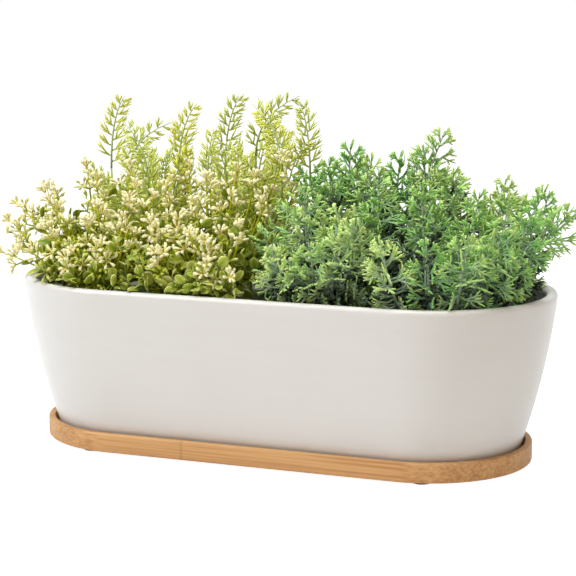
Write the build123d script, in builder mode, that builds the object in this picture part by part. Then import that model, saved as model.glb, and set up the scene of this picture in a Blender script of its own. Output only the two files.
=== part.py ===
from build123d import *
from math import cos, radians, sin, sqrt
import os

# A window-sill planter of artificial plants: a glazed stadium-shaped pot in a bamboo tray.
# Millimetres, +Z up, +X along the pot. The origin is on the table, under the middle of the tray.

# Ceramic pot
rim_length = 305.0
rim_width = 141.0
pot_height = 88.0
base_inset = 19.5
wall_bulge = 2.5
wall_thickness = 6.5
floor_thickness = 8.0
lip_round = 2.9
base_bevel = 2.5
floor_bevel = 7.0
foot_ring_width = 7.0
foot_ring_height = 1.5
drain_diameter = 10.0
drain_pitch = 80.0
drain_count = 3

# Bamboo tray and its rubber feet
tray_height = 10.5
tray_floor = 4.0
tray_wall = 3.8
tray_play = 3.6
tray_edge_bevel = 0.7
foot_diameter = 11.0
foot_height = 1.5
foot_edge_gap = 3.0
foot_angle = 75.0

# Foam block that holds the stems
foam_drop = 18.0
foam_clearance = 0.4
stem_hole_depth = 45.0
stem_hole_clearance = 0.3

# Stems
stem_margin_x = 57.0
stem_margin_y = 42.5
stem_diameter = 4.0
crown_diameter = 5.6
crown_below_rim = 5.0
crown_height = 11.0
branch_diameter = 2.2
branch_sides = 3
collar_sides = 4
stem_sides = 8
branch_root_share = 0.35
collar_diameter = 3.2
collar_length = 3.0

# Room that the bushes share
end_overhang = 9.5
front_inset = 2.0
bush_gap = 1.0
fern_front = 12.0

# Sprigs: lengths along the stalk and half widths across it
flower_length = 34.0
flower_reach = 7.0
flower_whorls = 4
petal_thickness = 1.4
frond_length = 44.0
frond_reach = 11.5
frond_pinnae = 6
frond_thickness = 1.2
spray_length = 48.0
spray_reach = 16.0
spray_needles = 6
spray_thickness = 1.2
rib_half_width = 1.0

# Sprigs lean from a point below the rim, lower for a higher tip; their blades are turned about them in order
aim_least = 8.0
aim_share = 0.35
blade_turns = [0, 60, 120]
frond_turns = [8, -14, 18]

# Blade outlines, as shares of the blade's own length and of each tooth's reach
tooth_start = 0.05
tooth_span = 0.85
tooth_sweep = 0.7
petal_valley = 0.3
petal_taper = 0.5
needle_valley = 0.1
frond_valley = 0.1
swell_angle = 60.0
swell_turn = 95.0
leaf_shape = [(0.3, 1.0), (0.7, 0.85), (1.0, 0.1)]

# Leaves at the foot of the flowers: compass directions about the stem, and their rise
leaf_length = 17.0
leaf_width = 10.0
leaf_thickness = 1.0
leaf_stalk_length = 15.0
leaf_stalk_width = 1.6
leaf_rise = 14.0
leaf_directions = [-152, -116, -76, -18, 60]

# Sprig tips, chosen by eye from the photograph: place across the bush's room from its left end (0 to 1),
# place from its front (0 to 1), and height above the rim in millimetres, then a frond's lean to the right
flower_tips_left = [
    (0.00, 0.75, 36), (0.08, 0.45, 30), (0.10, 0.96, 45), (0.24, 0.72, 46), (0.38, 0.96, 57),
    (0.54, 0.74, 52), (0.68, 0.95, 58), (0.82, 0.66, 49), (0.97, 0.86, 52), (0.36, 0.42, 42),
    (0.70, 0.36, 41), (0.46, 0.12, 29), (0.94, 0.14, 36),
]
flower_tips_middle = [
    (0.05, 0.94, 59), (0.30, 0.80, 54), (0.52, 0.96, 59), (0.76, 0.82, 56), (0.98, 0.96, 67),
    (0.04, 0.55, 46), (0.36, 0.48, 44), (0.68, 0.56, 48), (0.97, 0.66, 48), (0.12, 0.16, 35),
    (0.54, 0.08, 31), (0.95, 0.20, 34),
]
fern_tips_left = [
    (0.58, 0.10, 82, -20), (0.22, 0.26, 58, -35), (0.80, 0.43, 82, 40), (0.44, 0.60, 96, 12),
    (0.89, 0.77, 92, 16), (0.70, 0.94, 78, -8),
]
fern_tips_middle = [
    (0.60, 0.10, 95, -24), (0.15, 0.26, 80, 6), (0.96, 0.43, 99, 38), (0.30, 0.60, 98, 13),
    (0.85, 0.77, 93, -8), (0.60, 0.94, 82, 20),
]
juniper_tips_front_middle = [
    (0.05, 0.78, 46), (0.06, 0.34, 36), (0.26, 0.06, 28), (0.60, 0.05, 31), (0.95, 0.18, 42),
    (0.36, 0.58, 56), (0.70, 0.52, 46), (0.95, 0.82, 53),
]
juniper_tips_front_right = [
    (0.20, 0.70, 58), (0.08, 0.18, 34), (0.36, 0.08, 35), (0.58, 0.14, 38), (0.74, 0.42, 46),
    (0.96, 0.84, 43), (0.50, 0.90, 54), (0.84, 0.70, 48),
]
juniper_tips_back_middle = [
    (0.10, 0.12, 62), (0.46, 0.40, 76), (0.92, 0.46, 70), (0.84, 0.08, 63), (0.06, 0.56, 60),
    (0.22, 0.94, 54), (0.62, 0.96, 50), (0.94, 0.88, 56),
]
juniper_tips_back_right = [
    (0.20, 0.36, 87), (0.32, 0.08, 63), (0.62, 0.08, 60), (0.84, 0.16, 58), (0.94, 0.44, 50),
    (0.10, 0.90, 58), (0.46, 0.94, 54), (0.74, 0.74, 52),
]

# Heights above the table
tray_seat = foot_height + tray_floor
pot_floor = tray_seat + floor_thickness
pot_rim = tray_seat + pot_height
foam_top = pot_rim - foam_drop
stem_end = foam_top - stem_hole_depth
crown_base = pot_rim - crown_below_rim

# The wall's arc, from the chord between base and rim and the bulge over it
wall_chord = sqrt(base_inset**2 + pot_height**2)
wall_arc = (wall_chord**2 / 4 + wall_bulge**2) / (2 * wall_bulge)
arc_back = (wall_arc - wall_bulge) / wall_chord
arc_centre = rim_width / 2 - base_inset / 2 - arc_back * pot_height
arc_height = tray_seat + pot_height / 2 + arc_back * base_inset
end_axis = (rim_length - rim_width) / 2

# Stems stand in two rows, and each bush keeps to its own room in plan
column_pitch = (rim_length - 2 * stem_margin_x) / 3
row_y = rim_width / 2 - stem_margin_y
room_x = rim_length / 2 + end_overhang
room_y = rim_width / 2 - front_inset
columns = [-1.5 * column_pitch, -0.5 * column_pitch, 0.5 * column_pitch, 1.5 * column_pitch]
column_rooms = [(-room_x, -column_pitch), (-column_pitch, 0), (0, column_pitch), (column_pitch, room_x)]


def wall_half(height, inset):
    """Half the pot's width at a height, measured this far inside the outer face of the wall."""
    return arc_centre + sqrt((wall_arc - inset) ** 2 - (height - arc_height) ** 2)


def wall_side(inset, low, high):
    """The wall's line in the half-section: start, middle and end of the arc at this inset."""
    middle = (low + high) / 2
    return [(wall_half(z, inset), z) for z in (low, middle, high)]


def stadium_body(half_section):
    """Carry a half-section round a stadium: straight sides, and a half turn about each end axis."""
    with BuildPart() as body:
        with BuildSketch(Plane.YZ):
            add(half_section)
            mirror(about=Plane.YZ)
        extrude(amount=end_axis, both=True)
        for side in (1, -1):
            with BuildSketch(Plane((side * end_axis, 0, 0), x_dir=(0, -side, 0), z_dir=(-side, 0, 0))):
                add(half_section)
            revolve(axis=Axis((side * end_axis, 0, 0), (0, 0, 1)), revolution_arc=180)
    return body.part


os.makedirs("parts", exist_ok=True)

# Pot: a slip-cast shell with a rolled lip, a foot ring and drain holes
with BuildSketch() as pot_section:
    with BuildLine():
        outer = ThreePointArc(*wall_side(0, tray_seat, pot_rim))
        inner = ThreePointArc(*wall_side(wall_thickness, pot_floor, pot_rim))
        Line(outer @ 1, inner @ 1)
        Polyline(inner @ 0, (0, pot_floor), (0, tray_seat), outer @ 0)
    make_face()
    fillet(pot_section.vertices().group_by(Axis.Y)[-1], lip_round)
    chamfer(pot_section.vertices().group_by(Axis.Y)[0].sort_by(Axis.X)[-1], base_bevel)
    chamfer(pot_section.vertices().sort_by_distance(inner @ 0)[0], floor_bevel)

base_length = rim_length - 2 * base_inset
base_width = rim_width - 2 * base_inset
with BuildPart() as ceramic_pot:
    add(stadium_body(pot_section.sketch))
    with BuildSketch(Plane.XY.offset(tray_seat)):
        SlotOverall(base_length - 2 * foot_ring_width, base_width - 2 * foot_ring_width)
    extrude(amount=foot_ring_height, mode=Mode.SUBTRACT)
    with Locations((0, 0, pot_floor)):
        with GridLocations(drain_pitch, 0, drain_count, 1):
            Hole(drain_diameter / 2, depth=floor_thickness)
ceramic_pot.part.label = "ceramic_pot"
export_step(ceramic_pot.part, "parts/ceramic_pot.step")

# Tray: one bamboo board with a routed recess that the pot's foot stands in
recess_length = base_length + 2 * tray_play
recess_width = base_width + 2 * tray_play
tray_length = recess_length + 2 * tray_wall
tray_width = recess_width + 2 * tray_wall
with BuildPart() as bamboo_tray:
    with BuildSketch(Plane.XY.offset(foot_height)):
        SlotOverall(tray_length, tray_width)
    extrude(amount=tray_height)
    with BuildSketch(Plane.XY.offset(tray_seat)):
        SlotOverall(recess_length, recess_width)
    extrude(amount=tray_height, mode=Mode.SUBTRACT)
    tray_edges = bamboo_tray.edges().group_by(Axis.Z)
    chamfer(tray_edges[0] + tray_edges[-1], tray_edge_bevel)
bamboo_tray.part.label = "bamboo_tray"
export_step(bamboo_tray.part, "parts/bamboo_tray.step")

# Feet: stick-on rubber discs close to the tray's edge
foot_circle = tray_width / 2 - foot_edge_gap - foot_diameter / 2
foot_x = (tray_length - tray_width) / 2 + foot_circle * cos(radians(foot_angle))
foot_y = foot_circle * sin(radians(foot_angle))
for row, side_y in (("front", -foot_y), ("back", foot_y)):
    for end, side_x in (("left", -foot_x), ("right", foot_x)):
        with BuildPart() as rubber_foot:
            with BuildSketch():
                with Locations((side_x, side_y)):
                    Circle(foot_diameter / 2)
            extrude(amount=foot_height)
        rubber_foot.part.label = f"foot_{row}_{end}"
        export_step(rubber_foot.part, f"parts/foot_{row}_{end}.step")

# Foam block: fills the pot to below the rim, with a hole for each stem
foam_inset = wall_thickness + foam_clearance
with BuildSketch() as foam_section:
    with BuildLine():
        foam_low = (wall_half(pot_floor, foam_inset) - floor_bevel, pot_floor)
        foam_high = (wall_half(foam_top, foam_inset), foam_top)
        Polyline(foam_low, foam_high, (0, foam_top), (0, pot_floor), close=True)
    make_face()

with BuildPart() as foam_block:
    add(stadium_body(foam_section.sketch))
    with BuildSketch(Plane.XY.offset(foam_top)):
        with Locations(*[(x, y) for x in columns for y in (-row_y, row_y)]):
            RegularPolygon(stem_diameter / 2 + stem_hole_clearance, stem_sides)
    extrude(amount=-stem_hole_depth, mode=Mode.SUBTRACT)
foam_block.part.label = "foam_block"
export_step(foam_block.part, "parts/foam_block.step")


def tip_point(room, across, back, height):
    """A sprig's tip, from its place in the bush's room and its height above the rim."""
    (x_low, x_high), (y_low, y_high) = room
    margin = bush_gap / 2 + rib_half_width
    x = x_low + margin + across * (x_high - x_low - 2 * margin)
    y = y_low + margin + back * (y_high - y_low - 2 * margin)
    return Vector(x, y, pot_rim + height)


def sprig_lines(stem, room, tips, length):
    """Base and tip of each sprig, which leans away from a point on the stem's line below the rim."""
    lines = []
    for across, back, height in tips:
        tip = tip_point(room, across, back, height)
        aim = Vector(*stem, pot_rim - aim_least - aim_share * height)
        lean = (tip - aim).normalized()
        size = min(length, (height + crown_below_rim) / lean.Z)
        lines.append((tip - lean * size, tip))
    return lines


def frond_lines(room, tips):
    """Base and tip of each frond, which leans to the right by its own angle."""
    lines = []
    for across, back, height, angle in tips:
        tip = tip_point(room, across, back, height)
        lean = Vector(sin(radians(angle)), 0, cos(radians(angle)))
        lines.append((tip - lean * frond_length, tip))
    return lines


def blade_plane(base, tip, turn):
    """A plane along a sprig, turned about it from facing the front: its x runs from base to tip."""
    along = (tip - base).normalized()
    across = along.cross(Vector(0, 1, 0)).normalized()
    normal = along.cross(across) * cos(radians(turn)) + across * sin(radians(turn))
    return Plane(base, x_dir=along, z_dir=normal)


def both_sides(side):
    """Close an outline by mirroring it in the blade's own line."""
    return side + [(x, -y) for x, y in reversed(side)]


def toothed_outline(length, reaches, valley):
    """A blade with forward teeth on both sides of its rib, one for each reach, from its foot to its tip."""
    side = [(0, rib_half_width)]
    for number, out in enumerate(reaches):
        root = length * (tooth_start + tooth_span * number / len(reaches))
        side.append((root, max(rib_half_width, valley * out)))
        side.append((root + tooth_sweep * out, out))
    side.append((length, rib_half_width / 2))
    return both_sides(side)


def swelling(count):
    """Shares of the full reach for teeth that are longest below the middle of the blade."""
    return [sin(radians(swell_angle + swell_turn * number / count)) for number in range(count)]


def petal_outline(length):
    """Flower spike: petals in whorls that tighten towards the tip."""
    size = flower_reach * length / flower_length
    reaches = [size * (1 - petal_taper * number / flower_whorls) for number in range(flower_whorls)]
    return toothed_outline(length, reaches, petal_valley)


def needle_outline(length):
    """Juniper spray: a teardrop of forward needles."""
    size = spray_reach * length / spray_length
    return toothed_outline(length, [size * share for share in swelling(spray_needles)], needle_valley)


def frond_outline(length):
    """Fern frond: slim pinnae on a thin rachis."""
    size = frond_reach * length / frond_length
    return toothed_outline(length, [size * share for share in swelling(frond_pinnae)], frond_valley)


def leaf_outline():
    """Oval leaf on a narrow stalk that starts inside the crown."""
    half_stalk = leaf_stalk_width / 2
    half_leaf = leaf_width / 2
    side = [(crown_diameter / 4, half_stalk), (leaf_stalk_length, half_stalk)]
    for share, width in leaf_shape:
        side.append((leaf_stalk_length + share * leaf_length, width * half_leaf))
    return both_sides(side)


def leaf_planes(stem):
    """One rising plane for each leaf, with its x along the leaf, at its own height on the crown."""
    planes = []
    for number, direction in enumerate(leaf_directions):
        turn = radians(direction)
        rise = radians(leaf_rise)
        height = crown_base + crown_height * (number + 1) / (len(leaf_directions) + 1)
        along = (cos(turn) * cos(rise), sin(turn) * cos(rise), sin(rise))
        normal = (-cos(turn) * sin(rise), -sin(turn) * sin(rise), cos(rise))
        planes.append(Plane((*stem, height), x_dir=along, z_dir=normal))
    return planes


def stem_solid(stem, lines):
    """Main stem, its crown, and a branch to each sprig that ends in a flat collar for it to seat on."""
    with BuildPart() as solid:
        with BuildSketch(Plane((*stem, stem_end))):
            RegularPolygon(stem_diameter / 2, stem_sides)
        extrude(amount=crown_base - stem_end)
        with BuildSketch(Plane((*stem, crown_base))):
            RegularPolygon(crown_diameter / 2, stem_sides)
        extrude(amount=crown_height)
        for number, (base, tip) in enumerate(lines):
            share = branch_root_share + (1 - branch_root_share) * number / len(lines)
            root = Vector(*stem, crown_base + share * (crown_height - branch_diameter))
            collar = base - (tip - base).normalized() * collar_length
            with BuildSketch(Plane(root, z_dir=collar - root)):
                RegularPolygon(branch_diameter / 2, branch_sides)
            extrude(amount=(collar - root).length)
            with BuildSketch(Plane(base, z_dir=collar - base)):
                RegularPolygon(collar_diameter / 2, collar_sides)
            extrude(amount=collar_length)
    return solid.part


def blade_solids(planes, outlines, thickness, room, carriers):
    """Flat blades, kept inside the bush's room and cut where they seat on what carries them."""
    (x_low, x_high), (y_low, y_high) = room
    with BuildPart() as solid:
        for plane, outline in zip(planes, outlines):
            with BuildSketch(plane):
                Polygon(*outline, align=None)
        extrude(amount=thickness / 2, both=True)
        with Locations(((x_low + x_high) / 2, (y_low + y_high) / 2, pot_rim)):
            Box(x_high - x_low - bush_gap, y_high - y_low - bush_gap, 2 * pot_rim, mode=Mode.INTERSECT)
        for carrier in carriers:
            add(carrier, mode=Mode.SUBTRACT)
    return solid.part


def sprig_solids(lines, turns, outline, thickness, room, carriers):
    """A blade along each sprig, turned about it by each of the turns in order."""
    planes = []
    for number, (base, tip) in enumerate(lines):
        planes.append(blade_plane(base, tip, turns[number % len(turns)]))
    outlines = [outline((tip - base).length) for base, tip in lines]
    return blade_solids(planes, outlines, thickness, room, carriers)


def write(part, name):
    """Label a finished piece and write it."""
    part.label = name
    export_step(part, f"parts/{name}.step")


# Flower bushes: branched stems, leaves at their foot, and a spike of petals on each branch
for name, column, tips in (("left", 0, flower_tips_left), ("middle", 1, flower_tips_middle)):
    stem = (columns[column], -row_y)
    room = (column_rooms[column], (-room_y, fern_front))
    lines = sprig_lines(stem, room, tips, flower_length)
    stems = stem_solid(stem, lines)
    write(stems, f"flower_stems_{name}")
    leaf_outlines = [leaf_outline() for direction in leaf_directions]
    leaves = blade_solids(leaf_planes(stem), leaf_outlines, leaf_thickness, room, [stems])
    write(leaves, f"flower_leaves_{name}")
    petals = sprig_solids(lines, blade_turns, petal_outline, petal_thickness, room, [stems, leaves])
    write(petals, f"flower_petals_{name}")

# Fern bushes: tall bare stalks with one frond each
for name, column, tips in (("left", 0, fern_tips_left), ("middle", 1, fern_tips_middle)):
    stem = (columns[column], row_y)
    room = (column_rooms[column], (fern_front, room_y))
    lines = frond_lines(room, tips)
    stems = stem_solid(stem, lines)
    write(stems, f"fern_stems_{name}")
    fronds = sprig_solids(lines, frond_turns, frond_outline, frond_thickness, room, [stems])
    write(fronds, f"fern_fronds_{name}")

# Juniper bushes: needle sprays on short branches
juniper_bushes = [
    ("front_middle", 2, -row_y, (-room_y, 0), juniper_tips_front_middle),
    ("front_right", 3, -row_y, (-room_y, 0), juniper_tips_front_right),
    ("back_middle", 2, row_y, (0, room_y), juniper_tips_back_middle),
    ("back_right", 3, row_y, (0, room_y), juniper_tips_back_right),
]
for name, column, y, row_room, tips in juniper_bushes:
    stem = (columns[column], y)
    room = (column_rooms[column], row_room)
    lines = sprig_lines(stem, room, tips, spray_length)
    stems = stem_solid(stem, lines)
    write(stems, f"juniper_stems_{name}")
    sprays = sprig_solids(lines, blade_turns, needle_outline, spray_thickness, room, [stems])
    write(sprays, f"juniper_sprays_{name}")
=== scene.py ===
# %% [markdown]
# # A window-sill planter of artificial plants
#
# A white glazed trough stands in a bamboo tray and holds eight bushes of moulded plastic foliage. The
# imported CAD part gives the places, the heights and every moving body. This script loads it as a fixed frame
# and dresses it: a finer pot and tray, and foliage with real petals, pinnae and needles in place of the
# flat blades. All lengths are metres, with +Z up.

import bmesh
import bpy
import numpy as np
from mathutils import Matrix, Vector


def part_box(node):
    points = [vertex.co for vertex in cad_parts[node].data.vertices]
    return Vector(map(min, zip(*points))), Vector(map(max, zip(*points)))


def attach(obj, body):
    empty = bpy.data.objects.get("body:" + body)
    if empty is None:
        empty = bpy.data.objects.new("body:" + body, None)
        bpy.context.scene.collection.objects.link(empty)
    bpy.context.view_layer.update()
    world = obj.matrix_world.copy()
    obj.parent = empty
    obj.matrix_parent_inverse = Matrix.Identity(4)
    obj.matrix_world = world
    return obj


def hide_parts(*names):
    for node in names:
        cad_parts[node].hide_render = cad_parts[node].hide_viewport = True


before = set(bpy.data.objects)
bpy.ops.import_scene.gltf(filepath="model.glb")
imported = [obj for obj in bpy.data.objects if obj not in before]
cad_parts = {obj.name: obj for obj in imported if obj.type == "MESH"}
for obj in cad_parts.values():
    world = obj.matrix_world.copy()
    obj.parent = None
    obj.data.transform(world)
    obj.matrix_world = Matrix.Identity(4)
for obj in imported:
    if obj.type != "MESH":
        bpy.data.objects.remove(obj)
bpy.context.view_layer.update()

pot_low, pot_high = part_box("ceramic_pot")
tray_low, tray_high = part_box("bamboo_tray")

# %% [markdown]
# ## Camera
#
# The photograph looks at the planter from a little to its right and a little above, through a long lens. A
# camera fitted to the rim, the base and the tray gave these angles. Aiming the camera above the middle of
# the pot frames the plants without any lens shift.

# %% Place the camera
view_azimuth = np.radians(21.0)
view_elevation = np.radians(11.17)
view_distance = 0.981
fitted_middle = Vector((0.0, 0.0, 0.0615))
aim_point = Vector((0.0026, 0.0, 0.0889))
frame_side_px = 576
focal_px = 1762.0

camera = bpy.data.objects.new("camera", bpy.data.cameras.new("camera"))
bpy.context.scene.collection.objects.link(camera)
camera.data.sensor_width = 36.0
camera.data.lens = camera.data.sensor_width * focal_px / frame_side_px
level = np.cos(view_elevation)
toward_camera = Vector((np.sin(view_azimuth) * level, -np.cos(view_azimuth) * level, np.sin(view_elevation)))
camera.location = fitted_middle + toward_camera * view_distance
camera.rotation_euler = (aim_point - camera.location).to_track_quat("-Z", "Y").to_euler()
bpy.context.scene.camera = camera
bpy.context.scene.view_settings.view_transform = "Standard"
print("camera at", [round(v, 3) for v in camera.location], "lens", round(camera.data.lens, 1))

# %% [markdown]
# ## Shader arithmetic
#
# A finish is easier to read as a formula than as a picture of nodes. `Wire` wraps one output socket, so
# that `1 - mask * 0.4` adds the Math nodes it needs. Colours go through `mix`, because a Math node would
# turn them grey. Every other node with an output comes from `node`, which sets the node's options before
# its sockets.


# %% Wire up shader nodes
class Wire:
    """One output socket of a material's nodes, with arithmetic that adds Math nodes."""

    def __init__(self, socket):
        self.socket = socket
        self.tree = socket.id_data

    def math(self, operation, *values):
        """A Math node of this operation on wires or numbers."""
        return node(self.tree, "ShaderNodeMath", {"operation": operation}, dict(enumerate(values)))

    def __add__(self, other):
        return self.math("ADD", self, other)

    def __sub__(self, other):
        return self.math("SUBTRACT", self, other)

    def __rsub__(self, other):
        return self.math("SUBTRACT", other, self)

    def __mul__(self, other):
        return self.math("MULTIPLY", self, other)

    def __truediv__(self, other):
        return self.math("DIVIDE", self, other)

    def __abs__(self):
        return self.math("ABSOLUTE", self)

    def between(self, low, high):
        """0 below low, 1 above high, and a smooth rise between."""
        settings = {"interpolation_type": "SMOOTHSTEP"}
        inputs = {"Value": self, "From Min": low, "From Max": high}
        return node(self.tree, "ShaderNodeMapRange", settings, inputs)

    __radd__ = __add__
    __rmul__ = __mul__


def set_stops(color_ramp, stops):
    """Colours at their places along a ramp, which starts out with a few stops of its own."""
    ready = len(color_ramp.elements)
    for number, (place, tone) in enumerate(stops):
        stop = color_ramp.elements[number] if number < ready else color_ramp.elements.new(place)
        stop.position = place
        stop.color = tone


def node(tree, kind, settings, inputs, output=0):
    """A node of this kind with its settings, then its sockets by name or number: values, or wires to link."""
    made = tree.nodes.new(kind)
    for name, value in settings.items():
        if name == "stops":
            set_stops(made.color_ramp, value)
        else:
            setattr(made, name, value)
    shown = [socket for socket in made.inputs if socket.enabled]
    for key, value in inputs.items():
        socket = shown[key] if isinstance(key, int) else next(s for s in shown if s.name == key)
        if isinstance(value, Wire):
            tree.links.new(value.socket, socket)
        else:
            socket.default_value = value
    outputs = [socket for socket in made.outputs if socket.enabled]
    return Wire(outputs[output] if isinstance(output, int) else made.outputs[output])


print("wires ready")


# %% Mix colours, make noise and bumps
def mix(tree, share, first, second):
    """Colour mixed from first to second by share."""
    return node(tree, "ShaderNodeMix", {"data_type": "RGBA"}, {"Factor": share, "A": first, "B": second})


def noise(tree, place, scale, detail=3.0):
    """Soft noise from 0 to 1 at this many lumps a metre."""
    return node(tree, "ShaderNodeTexNoise", {}, {"Vector": place, "Scale": scale, "Detail": detail})


def stretched(tree, scale):
    """Object coordinates scaled along x, y and z, for patterns that run along the piece."""
    place = node(tree, "ShaderNodeTexCoord", {}, {}, "Object")
    return node(tree, "ShaderNodeMapping", {}, {"Vector": place, "Scale": scale})


def bumps(tree, height, distance, strength=1.0):
    """Normals tilted by a height field, with this depth in metres."""
    return node(tree, "ShaderNodeBump", {}, {"Height": height, "Distance": distance, "Strength": strength})


def colour(red, green, blue):
    """An sRGB colour of 0 to 255, as the linear colour that shaders use."""
    share = np.array([red, green, blue]) / 255
    linear = np.where(share <= 0.04045, share / 12.92, ((share + 0.055) / 1.055) ** 2.4)
    return (*linear.tolist(), 1.0)


print("patterns ready")


# %% Start and end a material
def new_finish(name):
    """An empty material and its node tree."""
    material = bpy.data.materials.new(name)
    material.use_nodes = True
    tree = material.node_tree
    tree.nodes.clear()
    tree.nodes.new("ShaderNodeOutputMaterial")
    return material, tree


def show(tree, shader):
    """Link a shader to the output node of its tree."""
    end = next(made for made in tree.nodes if made.bl_idname.startswith("ShaderNodeOutput"))
    tree.links.new(shader.socket, end.inputs["Surface"])


def surface(material, **sockets):
    """End a material in one Principled shader, with underscores for the spaces in its socket names."""
    tree = material.node_tree
    inputs = {name.replace("_", " "): value for name, value in sockets.items()}
    if "Specular" in inputs:
        inputs["Specular IOR Level"] = inputs.pop("Specular")
    shader = node(tree, "ShaderNodeBsdfPrincipled", {}, inputs)
    show(tree, shader)
    return material


print("materials can be made")

# %% [markdown]
# ## Studio
#
# The photograph is a product shot on plain white. The light is soft and comes mostly from the upper left,
# with a weaker, warmer fill on the right, which is why the pot goes from cool white to a warm grey along
# its length. The floor and the world show white to the camera, and the floor also takes a soft contact
# shadow.

# %% Light the studio
# Each lamp: name, place, side in metres, power in watts and colour
lamps = [
    ("key", (-1.1, -1.0, 1.5), 0.6, 28.5, (1.0, 1.0, 1.0)),
    ("fill", (1.3, -1.3, 0.9), 1.0, 9.0, (1.0, 0.79, 0.58)),
    ("top", (0.1, 0.1, 1.8), 0.8, 21.0, (1.0, 1.0, 0.98)),
]
lamp_aim = Vector((0, 0, 0.1))
for name, place, side, power, tone in lamps:
    lamp = bpy.data.objects.new(name, bpy.data.lights.new(name, "AREA"))
    bpy.context.scene.collection.objects.link(lamp)
    lamp.data.size = side
    lamp.data.energy = power
    lamp.data.color = tone
    lamp.location = place
    lamp.rotation_euler = (lamp_aim - lamp.location).to_track_quat("-Z", "Y").to_euler()
print("lamps:", [lamp[0] for lamp in lamps])


# %% White surroundings
def seen_by_eye(tree):
    """1 for the camera's rays, also by way of gloss or glass, and 0 for the rays that light things."""
    kinds = ("Camera", "Glossy", "Transmission")
    eye, gloss, glass = (node(tree, "ShaderNodeLightPath", {}, {}, f"Is {kind} Ray") for kind in kinds)
    return eye.math("MAXIMUM", eye, eye.math("MAXIMUM", gloss, glass))


white = (1.0, 1.0, 1.0, 1.0)
ambient_level = 0.08
world = bpy.data.worlds.new("studio")
world.use_nodes = True
bpy.context.scene.world = world
world.node_tree.nodes.clear()
world.node_tree.nodes.new("ShaderNodeOutputWorld")
ambient = seen_by_eye(world.node_tree) * (1 - ambient_level) + ambient_level
sky = node(world.node_tree, "ShaderNodeBackground", {}, {"Color": white, "Strength": ambient})
show(world.node_tree, sky)
print("ambient light", ambient_level)

# %% Paper floor
floor_glow = 0.96
paper_grey = (0.45, 0.45, 0.45, 1.0)
bounce_grey = (0.8, 0.8, 0.8, 1.0)
floor_material, tree = new_finish("studio_floor")
paper = node(tree, "ShaderNodeBsdfDiffuse", {}, {"Color": paper_grey})
glow = node(tree, "ShaderNodeEmission", {}, {"Color": white, "Strength": floor_glow})
lit_paper = node(tree, "ShaderNodeAddShader", {}, {0: paper, 1: glow})
bounce = node(tree, "ShaderNodeBsdfDiffuse", {}, {"Color": bounce_grey})
show(tree, node(tree, "ShaderNodeMixShader", {}, {0: seen_by_eye(tree), 1: bounce, 2: lit_paper}))

floor_half = 6.0
corners = [(x * floor_half, y * floor_half, 0) for x, y in ((-1, -1), (1, -1), (1, 1), (-1, 1))]
floor_mesh = bpy.data.meshes.new("studio_floor")
floor_mesh.from_pydata(corners, [], [(0, 1, 2, 3)])
floor = bpy.data.objects.new("studio_floor", floor_mesh)
bpy.context.scene.collection.objects.link(floor)
floor_mesh.materials.append(floor_material)
print("floor", 2 * floor_half, "m wide")

# %% [markdown]
# ## Surfaces from arrays
#
# Every new piece is one of two kinds. The pot, tray and feet are a profile carried round a closed path. The
# plants are thousands of slim tubes, each a ring of points carried along a short curve. Both are worked out
# as whole numpy arrays and put into a mesh at once, which is quick and leaves the formula easy to see.


# %% Make meshes from arrays
def unit(vectors):
    """Vectors scaled to length 1."""
    return vectors / np.maximum(np.linalg.norm(vectors, axis=-1, keepdims=True), 1e-12)


def piece(name, points, faces, material, body, replaced, map_places=None):
    """A mesh object at the origin from points (n, 3) and faces (m, 3 or 4), riding on its body."""
    mesh = bpy.data.meshes.new(name)
    count, corners = faces.shape
    mesh.vertices.add(len(points))
    mesh.vertices.foreach_set("co", points.astype(np.float32).ravel())
    mesh.loops.add(count * corners)
    mesh.loops.foreach_set("vertex_index", faces.astype(np.int32).ravel())
    mesh.polygons.add(count)
    mesh.polygons.foreach_set("loop_start", np.arange(0, count * corners, corners, dtype=np.int32))
    mesh.update(calc_edges=True)
    mesh.polygons.foreach_set("use_smooth", np.ones(count, bool))
    if map_places is not None:
        layer = mesh.uv_layers.new(name=tone_map)
        layer.uv.foreach_set("vector", map_places[faces.ravel()].astype(np.float32).ravel())
    mesh.validate()
    mesh.materials.append(material)
    made = bpy.data.objects.new(name, mesh)
    bpy.context.scene.collection.objects.link(made)
    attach(made, body)
    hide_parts(*replaced)
    print(name, len(points), "points", count * (corners - 2), "triangles")
    return made


print("mesh helpers ready")


# %% Carry a profile round a path
def softened(corners, trims, steps=8, least_step=1e-9):
    """A polyline with rounded corners.

    Each corner is cut back by its trim along both its sides, and bridged by the curve
    (1-s)^2 before + 2 s (1-s) corner + s^2 after, with s from 0 to 1."""
    corners = np.asarray(corners, float)
    trims = np.asarray(trims, float)[:, None]
    toward_last = unit(np.roll(corners, 1, axis=0) - corners)
    toward_next = unit(np.roll(corners, -1, axis=0) - corners)
    share = np.linspace(0, 1, steps)[None, :, None]
    before = (corners + toward_last * trims)[:, None]
    after = (corners + toward_next * trims)[:, None]
    line = (1 - share) ** 2 * before + 2 * share * (1 - share) * corners[:, None] + share**2 * after
    line = line.reshape(-1, 2)
    moved = np.linalg.norm(np.diff(line, axis=0), axis=1) > least_step
    return line[np.concatenate([[True], moved])]


def stadium_path(end_axis, turn_steps=48, side_steps=24):
    """Where a closed profile is carried: the x of the axis it turns about, and the way it faces, in order.

    The right end turns from -90 to 90 degrees about +end_axis, the back runs to -end_axis, and so on."""
    half_turn = np.linspace(-np.pi / 2, np.pi / 2, turn_steps + 1)[:-1]
    run = np.linspace(end_axis, -end_axis, side_steps + 1)[:-1]
    axis_x = np.concatenate([np.full(turn_steps, end_axis), run, np.full(turn_steps, -end_axis), -run])
    back, front = (np.full(side_steps, way) for way in (np.pi / 2, -np.pi / 2))
    facing = np.concatenate([half_turn, back, half_turn + np.pi, front])
    return axis_x, facing


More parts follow.
